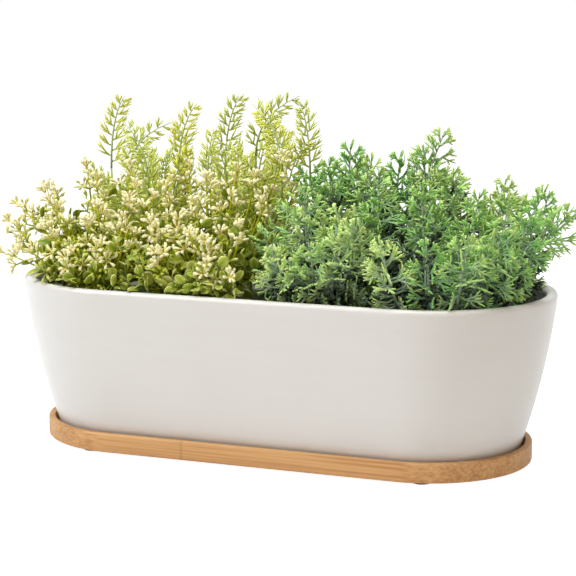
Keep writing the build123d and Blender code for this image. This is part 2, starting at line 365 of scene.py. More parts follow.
def carried_round(profile, axis_x, facing):
    """A half-section (out, height) carried round: x = axis + out cos(facing), y = out sin(facing)."""
    out, height = profile[:, 0][:, None], profile[:, 1][:, None]
    x = axis_x + out * np.cos(facing)
    y = out * np.sin(facing)
    z = np.broadcast_to(height, x.shape)
    rings, columns = x.shape
    row = np.arange(rings - 1)[:, None] * columns
    column = np.arange(columns)[None, :]
    beside = (column + 1) % columns
    corners = (row + column, row + beside, row + columns + beside, row + columns + column)
    quads = np.stack(np.broadcast_arrays(*corners), -1)
    return np.stack([x, y, z], -1).reshape(-1, 3), quads.reshape(-1, 4)


print("profile helpers ready")

# %% [markdown]
# ## Glazed pot
#
# The trough is slip-cast stoneware: a thin wall that leans out and bulges slightly, a rolled lip, and a
# foot ring under it. Its outline is the same half-section all the way round, so it is drawn once and
# carried round a stadium. The glaze is a satin white. It pools a little unevenly, so its colour and gloss
# drift slowly over the wall, and it has faint level streaks and the orange-peel dimples of a sprayed glaze.

# %% Satin glaze
glaze, tree = new_finish("satin_white_glaze")
place = stretched(tree, (1, 1, 1))
drift = noise(tree, place, 14.0, 2.0)
brushed = noise(tree, stretched(tree, (0.12, 0.12, 1)), 220.0, 3.0)
dimples = noise(tree, place, 700.0, 2.0)
tone = mix(tree, drift * 0.6 + brushed * 0.4, colour(215, 214, 211), colour(226, 225, 224))
glaze_normal = bumps(tree, dimples * 0.5 + brushed * 0.5, 0.00006, 0.5)
surface(glaze, Base_Color=tone, Roughness=0.28 + drift * 0.16, Normal=glaze_normal, Specular=0.5,
        Coat_Weight=0.25, Coat_Roughness=0.16)
print("glaze ready")

# %% Sizes of the pot
rim_length = 0.305
rim_width = 0.141
base_inset = 0.0195
wall_bulge = 0.0025
wall_thickness = 0.0065
floor_thickness = 0.008
floor_bevel = 0.007
base_bevel = 0.0025
foot_ring_width = 0.007
foot_ring_height = 0.0015
lip_trim = 0.0031
ring_trim = 0.0005
base_trim = 0.0008

pot_seat, pot_rim = pot_low.z, pot_high.z
pot_floor = pot_seat + floor_thickness
pot_height = pot_rim - pot_seat
rim_half = rim_width / 2
base_half = rim_half - base_inset
end_axis = (rim_length - rim_width) / 2
wall_chord = np.hypot(base_inset, pot_height)
wall_arc = (wall_chord**2 / 4 + wall_bulge**2) / (2 * wall_bulge)
arc_back = (wall_arc - wall_bulge) / wall_chord
arc_centre = rim_half - base_inset / 2 - arc_back * pot_height
arc_height = pot_seat + pot_height / 2 + arc_back * base_inset
print("pot height", round(pot_height, 4), "wall arc radius", round(wall_arc, 3))


# %% Half-section of the pot
def wall_out(height, inset):
    """Distance out to the wall's arc at a height, this far inside its outer face.

    out = arc centre + root of ((arc radius - inset)^2 - (height - arc height)^2)."""
    return arc_centre + np.sqrt((wall_arc - inset) ** 2 - (height - arc_height) ** 2)


def wall_line(low, high, inset, steps=24):
    """Points (distance out, height) up the wall's arc."""
    height = np.linspace(low, high, steps)
    return np.stack([wall_out(height, inset), height], -1)


ring_inside = base_half - foot_ring_width
under = pot_seat + foot_ring_height
pot_corners = np.concatenate([
    [(0, under), (ring_inside, under), (ring_inside, pot_seat), (base_half - base_bevel, pot_seat)],
    wall_line(pot_seat + base_bevel, pot_rim - 2 * lip_trim, 0),
    [(rim_half, pot_rim), (wall_out(pot_rim, wall_thickness), pot_rim)],
    wall_line(pot_rim - 2 * lip_trim, pot_floor + floor_bevel, wall_thickness),
    [(wall_out(pot_floor, wall_thickness) - floor_bevel, pot_floor), (0, pot_floor)],
])
pot_trims = np.zeros(len(pot_corners))
pot_trims[1:3] = ring_trim
pot_trims[3:5] = base_trim
lip_at = np.flatnonzero(np.isclose(pot_corners[:, 1], pot_rim))
pot_trims[lip_at] = lip_trim
print(len(pot_corners), "points on the half-section")


# %% Cast the pot
def closed_shell(made, gap=1e-6):
    """Merge the points that meet where a profile reaches the middle line, so that the shell is closed."""
    work = bmesh.new()
    work.from_mesh(made.data)
    bmesh.ops.remove_doubles(work, verts=work.verts, dist=gap)
    bmesh.ops.recalc_face_normals(work, faces=work.faces)
    work.to_mesh(made.data)
    work.free()
    return made


points, faces = carried_round(softened(pot_corners, pot_trims), *stadium_path(end_axis))
closed_shell(piece("glazed_pot", points, faces, glaze, "pot", ["ceramic_pot"]))

# %% [markdown]
# ## Bamboo tray
#
# The tray is one board of pressed bamboo strips with a recess routed for the pot. Its fibres run along the
# board, so noise stretched along x gives long streaks on the straight sides and, with no extra work, dots
# of end grain where the rounded ends cut across the fibres. Each strip has its own tone and a dark knuckle
# line now and then.

# %% Bamboo
strip_width = 0.0195
knuckle_pitch = 0.19
knuckle_phase = 0.453
knuckle_shift = 7.3
knuckle_line = (0.0003, 0.0014)
bamboo, tree = new_finish("pressed_bamboo")
parts = node(tree, "ShaderNodeSeparateXYZ", {}, {"Vector": stretched(tree, (1, 1, 1))}, "X")
x, y = parts, Wire(parts.socket.node.outputs["Y"])
fibre = noise(tree, stretched(tree, (0.012, 1, 1)), 900.0, 4.0)
streak = noise(tree, stretched(tree, (0.02, 1, 1)), 170.0, 3.0)
strip = y.math("FLOOR", y / strip_width)
strip_tone = node(tree, "ShaderNodeTexWhiteNoise", {"noise_dimensions": "1D"}, {"W": strip})
along = x / knuckle_pitch + strip_tone * knuckle_shift + knuckle_phase
off_knuckle = abs(x.math("FRACT", along) - 0.5) * knuckle_pitch
knuckle = 1 - off_knuckle.between(*knuckle_line)
grain = fibre.between(0.3, 0.7) * 0.55 + streak.between(0.3, 0.7) * 0.3 + strip_tone * 0.15
tone = mix(tree, grain, colour(186, 130, 78), colour(232, 188, 130))
tone = mix(tree, knuckle * 0.22, tone, colour(140, 92, 52))
bamboo_normal = bumps(tree, fibre - knuckle * 0.6, 0.00025, 0.6)
surface(bamboo, Base_Color=tone, Roughness=0.42 + fibre * 0.2, Normal=bamboo_normal, Specular=0.4)
print("bamboo ready")

# %% Rout the tray
tray_wall = 0.0038
tray_seat = pot_seat
tray_half = (tray_high.y - tray_low.y) / 2
tray_axis = (tray_high.x - tray_low.x) / 2 - tray_half
recess_half = tray_half - tray_wall
tray_corners = [
    (0, tray_low.z), (tray_half, tray_low.z), (tray_half, tray_high.z),
    (recess_half, tray_high.z), (recess_half, tray_seat), (0, tray_seat),
]
tray_trims = [0, 0.0009, 0.0011, 0.0009, 0.0006, 0]
points, faces = carried_round(softened(tray_corners, tray_trims), *stadium_path(tray_axis))
closed_shell(piece("bamboo_board", points, faces, bamboo, "tray", ["bamboo_tray"]))

# %% [markdown]
# ## Rubber feet and foam
#
# Four stick-on rubber discs keep the tray off the sill, and one of them shows as a dark dot at the front
# left. They get a slight taper and a rounded edge. The foam block that holds the stems is the CAD solid
# itself, which is already the right shape; it only needs a crumbly dark green, partly the colour of
# florist's foam and partly painted shade deep in the pot.

# %% Rubber feet
rubber, tree = new_finish("matte_rubber")
speckle = noise(tree, stretched(tree, (1, 1, 1)), 1500.0, 2.0)
rubber_tone = mix(tree, speckle, colour(38, 36, 34), colour(64, 60, 56))
surface(rubber, Base_Color=rubber_tone, Roughness=0.6 + speckle * 0.2,
        Normal=bumps(tree, speckle, 0.0001), Specular=0.3)

foot_taper = 0.94
foot_trims = [0, 0.0006, 0.0002, 0]
foot_turn_steps = 24
for row in ("front", "back"):
    for end in ("left", "right"):
        foot = f"foot_{row}_{end}"
        low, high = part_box(foot)
        radius = (high.x - low.x) / 2
        foot_corners = [(0, low.z), (radius * foot_taper, low.z), (radius, high.z), (0, high.z)]
        round_path = stadium_path(0.0, foot_turn_steps, 0)
        points, faces = carried_round(softened(foot_corners, foot_trims), *round_path)
        points = points + [(low.x + high.x) / 2, (low.y + high.y) / 2, 0]
        closed_shell(piece(f"rubber_{foot}", points, faces, rubber, "tray", [foot]))

# %% Crumbly foam
foam, tree = new_finish("florist_foam")
crumb = noise(tree, stretched(tree, (1, 1, 1)), 420.0, 5.0)
# Partly the foam's own dark green, partly painted shade deep in the pot.
foam_green_and_shade = mix(tree, crumb.between(0.3, 0.7), colour(38, 48, 24), colour(84, 96, 52))
surface(foam, Base_Color=foam_green_and_shade, Roughness=0.8 + crumb * 0.15,
        Normal=bumps(tree, crumb, 0.0012), Specular=0.2)
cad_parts["foam_block"].data.materials.clear()
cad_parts["foam_block"].data.materials.append(foam)
print("foam finished")

# %% [markdown]
# ## Slim tubes
#
# Stems, needles, petals and leaves are all tubes: a ring of points carried along a short curve, with its
# own radius at each ring and a pole that closes each end. A leaf is such a tube pressed flat. Each tube
# carries two numbers in a map, its tone along the tube and its tint, and the plastics read their colours
# from those, so that a needle can be frosted at its root and bright at its tip.

# %% Short curves
tone_map = "OFBake"


def bow(start, middle, end, share):
    """Points of the curve (1-s)^2 start + 2 s (1-s) middle + s^2 end at shares s, and its direction there."""
    share = np.asarray(share)[..., None]
    point = (1 - share) ** 2 * start + 2 * share * (1 - share) * middle + share**2 * end
    direction = unit((1 - share) * (middle - start) + share * (end - middle))
    return point, direction


def curves(start, middle, end, rings):
    """Each curve as a row of ring centres."""
    share = np.linspace(0, 1, rings)
    return bow(start[..., None, :], middle[..., None, :], end[..., None, :], share)[0]


def square_to(direction, steep=0.95):
    """Two unit vectors square to a direction and to each other: the first is level where it can be."""
    guide = np.where(np.abs(direction[..., 2:]) < steep, [0.0, 0.0, 1.0], [1.0, 0.0, 0.0])
    level = unit(np.cross(direction, guide))
    return level, np.cross(level, direction)


print("curves ready")


# %% Rings of points along the curves
def tubes(paths, radii, sides, tone, tint=None, flat=1.0, normal=None):
    """Tubes along paths (..., rings, 3), closed by a pole at each end.

    A ring is centre + radius (cos a level + flat sin a upright). A flat tube lies square to its normal, or
    level without one. tone is the pair of map values at the first and last ring. tint is the tube's other map
    value; without one it is the cube of the share from the midrib to the edge, for a leaf's pale edge."""
    rings = paths.shape[-2]
    lead = paths.shape[:-2]
    count = int(np.prod(lead))
    chord = unit(paths[..., -1, :] - paths[..., 0, :])
    level = square_to(chord)[0] if normal is None else unit(np.cross(chord, normal))
    along = unit(np.gradient(paths, axis=-2))
    level = unit(level[..., None, :] - along * np.sum(level[..., None, :] * along, -1, keepdims=True))
    upright = np.cross(along, level)
    angle = 2 * np.pi * np.arange(sides) / sides
    across, over = np.cos(angle)[:, None], flat * np.sin(angle)[:, None]
    ring = across * level[..., None, :] + over * upright[..., None, :]
    radii = np.broadcast_to(radii, (*lead, rings))[..., None, None]
    body = (paths[..., None, :] + radii * ring).reshape(count, rings * sides, 3)
    ends = paths.reshape(count, rings, 3)
    points = np.concatenate([ends[:, :1], body, ends[:, -1:]], axis=1)

    low, high = (np.broadcast_to(value, lead).reshape(count, 1) for value in tone)
    share = np.concatenate([[0], np.repeat(np.linspace(0, 1, rings), sides), [1]])
    tones = low + (high - low) * share
    if tint is None:
        edge = np.tile(np.abs(np.cos(angle)) ** 3, rings)
        tints = np.broadcast_to(np.concatenate([[0], edge, [0]]), tones.shape)
    else:
        tints = np.broadcast_to(np.broadcast_to(tint, lead).reshape(count, 1), tones.shape)

    side = np.arange(sides)
    beside = (side + 1) % sides
    first = 1 + np.arange(rings - 1)[:, None] * sides
    above = first + sides
    walls = [(first + side, first + beside, above + beside), (first + side, above + beside, above + side)]
    last, tip = 1 + (rings - 1) * sides, 1 + rings * sides
    caps = [(0 * side, 1 + beside, 1 + side), (0 * side + tip, last + side, last + beside)]
    one = np.concatenate([np.stack(np.broadcast_arrays(*t), -1).reshape(-1, 3) for t in walls + caps])
    faces = (one + np.arange(count)[:, None, None] * points.shape[1]).reshape(-1, 3)
    return points.reshape(-1, 3), faces, np.stack([tones, tints], -1).reshape(-1, 2)


def joined(shapes):
    """Several (points, faces, map) shapes as one."""
    starts = np.cumsum([0] + [len(points) for points, _, _ in shapes])
    points = np.concatenate([shape[0] for shape in shapes])
    faces = np.concatenate([shape[1] + start for shape, start in zip(shapes, starts)])
    return points, faces, np.concatenate([shape[2] for shape in shapes])


print("tubes ready")

# %% [markdown]
# ## Where the sprigs grow
#
# The part has eight stems in two rows, and each bush keeps to its own room in plan, so that it can be
# pulled up alone. The main sprigs have their tips where the photograph shows them, most of them at the
# places of the CAD blades. Fuller growth is added between them: extra tips up to about the height that the
# main ones set, drawn with a fixed seed for each bush. What would reach out of a room is folded back into
# it, and the rooms' edges sway to hide the seams.

# %% Rooms of the bushes
stem_margin_x = 0.057
stem_margin_y = 0.0425
end_overhang = 0.0095
front_inset = 0.002
bush_gap = 0.001
fern_front = 0.012

column_pitch = (rim_length - 2 * stem_margin_x) / 3
row_y = rim_half - stem_margin_y
room_x = rim_length / 2 + end_overhang
room_y = rim_half - front_inset
columns = column_pitch * np.array([-1.5, -0.5, 0.5, 1.5])
column_rooms = [(-room_x, -column_pitch), (-column_pitch, 0), (0, column_pitch), (column_pitch, room_x)]
print("stems at", [round(v, 4) for v in columns], "rows", round(row_y, 4))

# %% Place the sprigs
rib_half_width = 0.001
crown_below_rim = 0.005
aim_least = 0.008
aim_share = 0.35
anywhere = (0.0, 0.9)
near_rim = (0.76, 0.9)
tries_for_each = 40
least_nearness = 0.01


def room_place(room, shares):
    """Points in plan at shares of a bush's room, from its left front corner."""
    low, high = np.array(room).T
    margin = bush_gap / 2 + rib_half_width
    return low + margin + shares * (high - low - 2 * margin)


def leaning_sprigs(stem, room, tips, length):
    """Base and tip of each sprig, leaning away from a point on the stem's line, lower for a taller tip."""
    tip = np.column_stack([room_place(room, tips[:, :2]), pot_rim + tips[:, 2]])
    aim = np.column_stack([np.tile(stem, (len(tips), 1)), pot_rim - aim_least - aim_share * tips[:, 2]])
    lean = unit(tip - aim)
    size = np.minimum(length, (tips[:, 2] + crown_below_rim) / lean[:, 2])
    return tip - lean * size[:, None], tip


def out_from_middle(plan):
    """Distance of points in plan from the pot's middle line, which joins the axes of its round ends."""
    return np.hypot(np.maximum(np.abs(plan[:, 0]) - end_axis, 0), plan[:, 1])


def more_tips(tips, count, heights, ring, room, rng):
    """Extra tips at random places in a ring, as shares of the way from the pot's middle line to its rim.

    Their height is a random share of the main tips' heights there, weighed by 1 / distance squared."""
    place = rng.random((tries_for_each * count, 2))
    out = out_from_middle(room_place(room, place)) / rim_half
    place = place[(out > ring[0]) & (out < ring[1])][:count]
    near = np.sum((place[:, None] - tips[None, :, :2]) ** 2, -1) + least_nearness
    height = (tips[:, 2] / near).sum(1) / (1 / near).sum(1)
    return np.column_stack([place, height * rng.uniform(*heights, len(place))])


def stood_up(base, tip, share):
    """Bases moved by a share towards the place under their tips, where those are inside the rim."""
    inside = out_from_middle(tip) < rim_half
    moved = base + (tip - base) * [share, share, 0]
    return np.where(inside[:, None], moved, base)


print("sprig helpers ready")

# %% Keep each bush in its room
edge_sway = 0.004
edge_pitch = 0.045
edge_turns = 2 * np.pi / edge_pitch
fold_share = 0.3
lip_clearance = 0.0015
lip_lift = 0.0006


def kept_clear(points, room):
    """Points folded back into the bush's room, and lifted over the pot's lip.

    The rooms' edges sway, so that no bush ends in a flat wall: x - sway sin(turns y), and then
    y - sway sin(turns x), straighten them, the points are folded there, and the two steps are undone."""
    low, high = np.array(room).T
    low, high = low + bush_gap / 2, high - bush_gap / 2
    x = points[:, 0] - edge_sway * np.sin(edge_turns * points[:, 1])
    y = points[:, 1] - edge_sway * np.sin(edge_turns * x)
    plan = np.column_stack([x, y])
    plan = np.where(plan > high, high - fold_share * (plan - high), plan)
    plan = np.where(plan < low, low + fold_share * (low - plan), plan)
    y = plan[:, 1] + edge_sway * np.sin(edge_turns * plan[:, 0])
    x = plan[:, 0] + edge_sway * np.sin(edge_turns * y)
    plan = np.column_stack([x, y])
    over_lip = out_from_middle(plan) > rim_half - wall_thickness - lip_clearance
    height = np.where(over_lip, np.maximum(points[:, 2], pot_rim + lip_lift), points[:, 2])
    return np.column_stack([plan, height])


def planted(name, shape, room, material, body, replaced):
    """A bush's piece from its tubes, kept clear of its neighbours and of the lip."""
    points, faces, places = shape
    return piece(name, kept_clear(points, room), faces, material, body, [replaced], places)


print("room edges sway by", edge_sway)

# %% Branch out from a stem
crown_height = 0.011
stem_foot = 0.017
trunk_shape = np.array([1.25] * 10 + [1.7, 1.2])
branch_taper = np.linspace(0.75, 0.5, 9)
branch_slack = 0.45
rib_taper = np.linspace(0.5, 0.22, 7)


def branch_tubes(stem, base, middle, tip, thick, rng):
    """The main stem and its crown, a curved branch to the base of each sprig, and the sprig's own rib."""
    count = len(base)
    stem_low = np.array([*stem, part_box("foam_block")[0].z + stem_foot])
    stem_high = np.array([*stem, pot_rim - crown_below_rim + crown_height])
    trunk = curves(stem_low, (stem_low + stem_high) / 2, stem_high, len(trunk_shape))
    # The trunk and branches take the low end of their ramps: partly the stems' own darker green, partly
    # painted shade down in the pot and inside the bush.
    shapes = [tubes(trunk[None], thick * trunk_shape[None], 10, (0.1, 0.2), 0.5)]
    root = np.column_stack([np.tile(stem, (count, 1)), stem_high[2] - rng.uniform(0.001, 0.008, count)])
    bend = base - unit(middle - base) * branch_slack * np.linalg.norm(base - root, axis=1, keepdims=True)
    bend[:, 2] = np.maximum(bend[:, 2], root[:, 2])
    branches = curves(root, bend, base, len(branch_taper))
    shapes.append(tubes(branches, thick * branch_taper, 6, (0.2, 0.5), rng.random(count)))
    ribs = curves(base, middle, tip, len(rib_taper))
    shapes.append(tubes(ribs, thick * rib_taper, 6, (0.5, 1.0), rng.random(count)))
    return joined(shapes)


print("branches ready")

# %% [markdown]
# ## Moulded plastics of the plants
#
# Artificial foliage is moulded in one plastic and then misted with a second colour, so each sprig runs
# smoothly from one colour at its root to another at its tip. Two colour ramps along the tone, mixed by the
# tint, give every needle its own place in that range. The darkest end of the needle ramps is painted shade,
# and the dark end of the branch ramps is partly the stems' own green and partly painted shade, for the parts
# deep in the bushes and low in the pot. The plastic is soft and slightly waxy, with a broad sheen.


# %% Two-ramp plastic
def ramp(tree, share, stops):
    """Colours at the given places along a share of 0 to 1."""
    return node(tree, "ShaderNodeValToRGB", {"stops": stops}, {"Fac": share}, "Color")


def plastic(name, low_tint, high_tint, roughness, sheen):
    """A moulded plastic with one ramp of colours along the tone for each end of the tint."""
    material, tree = new_finish(name)
    places = node(tree, "ShaderNodeUVMap", {"uv_map": tone_map}, {})
    along = node(tree, "ShaderNodeSeparateXYZ", {}, {"Vector": places}, "X")
    tint = Wire(along.socket.node.outputs["Y"])
    tone = mix(tree, tint, ramp(tree, along, low_tint), ramp(tree, along, high_tint))
    return surface(material, Base_Color=tone, Roughness=roughness, Specular=sheen)


print("plastic ready")

# %% Colours of the plants
petal_plastic = plastic(
    "cream_petal_plastic",
    [(0.0, colour(112, 134, 6)), (0.6, colour(154, 172, 18)), (1.0, colour(204, 210, 76))],
    [(0.0, colour(196, 190, 56)), (0.35, colour(246, 234, 162)), (1.0, colour(255, 250, 212))],
    0.5, 0.35)
# The dark first stop of the branch ramps is partly the stems' own darker green and partly painted shade, for
# the trunks and branches low in the pot.
flower_branch_plastic = plastic(
    "flower_branch_plastic",
    [(0.0, colour(72, 88, 2)), (1.0, colour(172, 182, 8))],
    [(0.0, colour(104, 116, 4)), (1.0, colour(212, 206, 24))],
    0.5, 0.25)
leaf_plastic = plastic(
    "pale_edged_leaf_plastic",
    [(0.0, colour(72, 100, 2)), (0.4, colour(120, 148, 8)), (1.0, colour(184, 196, 44))],
    [(0.0, colour(184, 196, 70)), (0.4, colour(228, 228, 130)), (1.0, colour(252, 250, 204))],
    0.46, 0.2)
fern_plastic = plastic(
    "fern_plastic",
    [(0.0, colour(186, 204, 116)), (0.5, colour(214, 228, 116)), (1.0, colour(236, 244, 176))],
    [(0.0, colour(208, 214, 88)), (0.5, colour(238, 238, 76)), (1.0, colour(248, 248, 158))],
    0.5, 0.35)
fern_branch_plastic = plastic(
    "fern_branch_plastic",
    [(0.0, colour(120, 138, 70)), (1.0, colour(194, 210, 148))],
    [(0.0, colour(140, 156, 70)), (1.0, colour(216, 226, 140))],
    0.5, 0.35)
# The first stop of both needle ramps, near-black green, is painted shade for the limbs and sprays deep in the
# bush.
needle_plastic = plastic(
    "juniper_needle_plastic",
    [(0.0, colour(8, 24, 4)), (0.15, colour(112, 142, 118)), (0.35, colour(138, 184, 128)),
     (0.65, colour(140, 206, 98)), (1.0, colour(226, 248, 164))],
    [(0.0, colour(14, 30, 4)), (0.15, colour(150, 172, 150)), (0.35, colour(182, 208, 164)),
     (0.65, colour(208, 236, 136)), (1.0, colour(248, 254, 198))],
    0.5, 0.2)
juniper_branch_plastic = plastic(
    "frosted_branch_plastic",
    [(0.0, colour(70, 88, 72)), (0.5, colour(138, 160, 146)), (1.0, colour(164, 186, 160))],
    [(0.0, colour(76, 92, 70)), (0.5, colour(150, 168, 146)), (1.0, colour(176, 194, 156))],
    0.55, 0.3)
print("plastics ready")

# %% [markdown]
# ## Flower bushes
#
# Two bushes of cream flowers fill the left half of the front. A spike carries whorls of small club-shaped
# petals that tighten towards its tip; its lowest whorls are still green, and some spikes are nearly all
# bud. A few low flowers stand at the rim. Petals are tubes that swell towards a rounded end, set out in
# whorls round each spike. The pale-edged oval leaves are flat tubes that face along their shoots, so that
# their round shape shows from the front and from above.

# %% Flower tips from the photograph
flower_length = 0.034
millimetre = 0.001
# Each tip: shares of the bush's room to the right and to the back, then millimetres above the rim
flower_tips = {
    "left": [
        (0.00, 0.75, 36), (0.08, 0.45, 30), (0.10, 0.96, 45), (0.24, 0.72, 46), (0.38, 0.96, 57),
        (0.54, 0.74, 52), (0.68, 0.95, 58), (0.82, 0.66, 49), (0.97, 0.86, 52), (0.36, 0.42, 42),
        (0.70, 0.36, 41), (0.46, 0.12, 29), (0.94, 0.14, 36),
    ],
    "middle": [
        (0.05, 0.94, 59), (0.30, 0.80, 54), (0.52, 0.96, 59), (0.76, 0.82, 56), (0.98, 0.96, 67),
        (0.04, 0.55, 46), (0.36, 0.48, 44), (0.68, 0.56, 48), (0.97, 0.66, 48), (0.12, 0.16, 35),
        (0.54, 0.08, 31), (0.95, 0.20, 34),
    ],
}
rim_flowers = {
    "left": [
        (0.34, 0.05, 20), (0.62, 0.04, 15), (0.84, 0.05, 24), (0.01, 0.58, 22), (0.06, 0.38, 12),
        (0.03, 0.88, 30),
    ],
    "middle": [(0.24, 0.04, 22), (0.72, 0.03, 16), (0.93, 0.04, 11)],
}
# Extra growth: how many tips, their shares of the main tips' height, and the ring they stand in
more_flowers = [(5, (0.85, 1.05), anywhere)]
more_buds = [(16, (0.4, 0.8), anywhere)]
more_leaves = [(26, (0.4, 0.8), anywhere), (22, (0.12, 0.45), anywhere), (30, (0.05, 0.28), near_rim)]
print({name: len(tips) for name, tips in flower_tips.items()}, "main spikes")

# %% Petals and leaves
shoot_reach = 0.011
shoot_radius = 0.0005
petal_length = 0.0076
petal_shortening = 0.0014
petal_radius = 0.0009
petal_rise = 24
petal_closing = 34
petal_curl = 0.3
club = np.array([0.3, 0.3, 0.42, 1.0, 0.85])
whorl_span = (0.42, 0.97)
ripening = 0.16
stalk_share = 0.35
leaf_arch = 0.12
leaf_flatness = 0.12
# Turns in radians: the golden angle from one shoot to the next, and a little over a whole turn
golden_turn = 2.4
any_turn = 6.3


def petal_tubes(base, middle, tip, green, rng, whorls=4, petals=6):
    """Clubs in whorls up a spike, shorter towards its tip and rising by petal_rise + petal_closing share^2.

    A whorl stands on a side shoot that is longer, and leans out further, the lower it leaves the spike. Up to
    the green share of its length, a spike is still in bud."""
    count = len(base)
    share = np.linspace(*whorl_span, whorls) + rng.uniform(-0.03, 0.03, (count, whorls))
    root, ahead = bow(base[:, None], middle[:, None], tip[:, None], share)
    level, upright = square_to(ahead)
    way = (golden_turn * np.arange(whorls) + rng.uniform(0, any_turn, (count, 1)))[..., None]
    aside = np.cos(way) * level + np.sin(way) * upright
    below = (1 - share)[..., None]
    point = root + below * shoot_reach * (aside + 0.5 * ahead)
    bend = root + below * 0.5 * shoot_reach * aside
    shoots = tubes(curves(root, bend, point, 3), shoot_radius, 4, (0.2, 0.2), 0.2)
    ahead = unit(ahead + 1.4 * below * aside)
    level, upright = square_to(ahead)
    turn = 2 * np.pi * np.arange(petals) / petals + rng.uniform(0, any_turn, (count, whorls, 1))
    turn = turn + rng.uniform(-0.25, 0.25, (count, whorls, petals))
    outward = np.cos(turn)[..., None] * level[:, :, None] + np.sin(turn)[..., None] * upright[:, :, None]
    point, ahead, share = point[:, :, None], ahead[:, :, None], share[..., None]
    rise = np.radians(petal_rise + petal_closing * share**2 + rng.uniform(-12, 12, turn.shape))[..., None]
    size = (petal_length - petal_shortening * share + rng.uniform(-0.0007, 0.0007, turn.shape))[..., None]
    end = point + size * (np.cos(rise) * outward + np.sin(rise) * ahead)
    curled = rise + petal_curl
    bend = point + 0.5 * size * (np.cos(curled) * outward + np.sin(curled) * ahead)
    paths = curves(np.broadcast_to(point, end.shape), bend, end, len(club))
    ripe = np.clip((share - green[:, None, None]) / ripening, 0, 1) * rng.uniform(0.75, 1.0, turn.shape)
    return joined([tubes(paths, petal_radius * club, 5, (0.0, 1.0), ripe), shoots])


def leaf_tubes(start, heading, facing, length, width, rng):
    """Flat leaves on short stalks, each with its own facing; the half width follows sin(pi share)^0.6."""
    count = len(start)
    length = length * rng.uniform(0.8, 1.15, count)
    stalk_end = start + heading * (stalk_share * length)[:, None]
    lift = np.array([0, 0, 1.0])
    middle = stalk_end + (heading * 0.5 + lift * leaf_arch) * length[:, None]
    end = stalk_end + (heading + lift * rng.uniform(-leaf_arch, leaf_arch, (count, 1))) * length[:, None]
    share = np.linspace(0, 1, 7)
    radii = width / 2 * (0.1 + 0.9 * np.sin(np.pi * share) ** 0.6) * rng.uniform(0.7, 1.1, (count, 1))
    age = rng.uniform(0, 0.6, count)
    paths = curves(stalk_end, middle, end, len(share))
    blades = tubes(paths, radii, 8, (age, age + 0.4), None, leaf_flatness, facing)
    stalks = tubes(curves(start, (start + stalk_end) / 2, stalk_end, 3), shoot_radius, 5, (0.0, 0.1), 0.1)
    return joined([blades, stalks])


print("petals and leaves ready")

# %% Grow the flower bushes
flower_seed = 11
leaves_on_shoot = 7
leaf_length = 0.0078
leaf_width = 0.0056
flower_stem_thick = 0.0014
bud_shares = [0.36, 0.8]
for number, (name, tips) in enumerate(flower_tips.items()):
    rng = np.random.default_rng(flower_seed + number)
    stem = (columns[number], -row_y)
    room = (column_rooms[number], (-room_y, fern_front))
    body = f"flower_{name}"
    main = np.array(tips + rim_flowers[name]) * [1, 1, millimetre]
    spikes = np.concatenate([main] + [more_tips(main, *growth, room, rng) for growth in more_flowers])
    buds = np.concatenate([more_tips(main, *growth, room, rng) for growth in more_buds])
    shoots = np.concatenate([more_tips(main, *growth, room, rng) for growth in more_leaves])
    base, tip = leaning_sprigs(stem, room, np.concatenate([spikes, buds, shoots]), flower_length)
    middle = (base + tip) / 2 + rng.normal(0, 0.0015, base.shape)
    branches = branch_tubes(stem, base, middle, tip, flower_stem_thick, rng)
    planted(f"flower_branches_{name}", branches, room, flower_branch_plastic, body,
            f"flower_stems_{name}")
    flowering = slice(0, len(spikes) + len(buds))
    green = np.repeat(bud_shares, [len(spikes), len(buds)])
    petals = petal_tubes(base[flowering], middle[flowering], tip[flowering], green, rng)
    planted(f"petal_spikes_{name}", petals, room, petal_plastic, body, f"flower_petals_{name}")
    leafy = slice(len(spikes) + len(buds), None)
    share = np.tile(np.linspace(0.1, 1.0, leaves_on_shoot), (len(shoots), 1))
    start, ahead = bow(base[leafy, None], middle[leafy, None], tip[leafy, None], share)
    level, upright = square_to(ahead)
    turn = golden_turn * np.arange(leaves_on_shoot) + rng.uniform(0, any_turn, (len(shoots), 1))
    turn = turn[..., None]
    heading = unit(np.cos(turn) * level + np.sin(turn) * upright + ahead * rng.uniform(0.3, 1.1, turn.shape))
    facing = unit(ahead + rng.normal(0, 0.55, ahead.shape))
    ways = (way.reshape(-1, 3) for way in (start, heading, facing))
    leaves = leaf_tubes(*ways, leaf_length, leaf_width, rng)
    planted(f"leaf_sprays_{name}", leaves, room, leaf_plastic, body, f"flower_leaves_{name}")

# %% [markdown]
# ## Needled limbs
#
# Ferns and junipers share one build. A limb is a thin curved tube, and needles fork off it to both sides in
# one plane, like the tines of an antler. A fern's limbs make a flat frond with short needles near the rib.
# A juniper's limbs fork into arms as well, so that each is an antler of its own.

# %% Fork needles off limbs
# Radii along a limb and along a needle, as shares of the limb's thickness
blunt = ((1.15, 1.0, 0.9, 0.55), (0.85, 0.95, 0.55))
pointed = ((0.75, 0.75, 1.0, 0.12), (0.8, 1.05, 0.1))


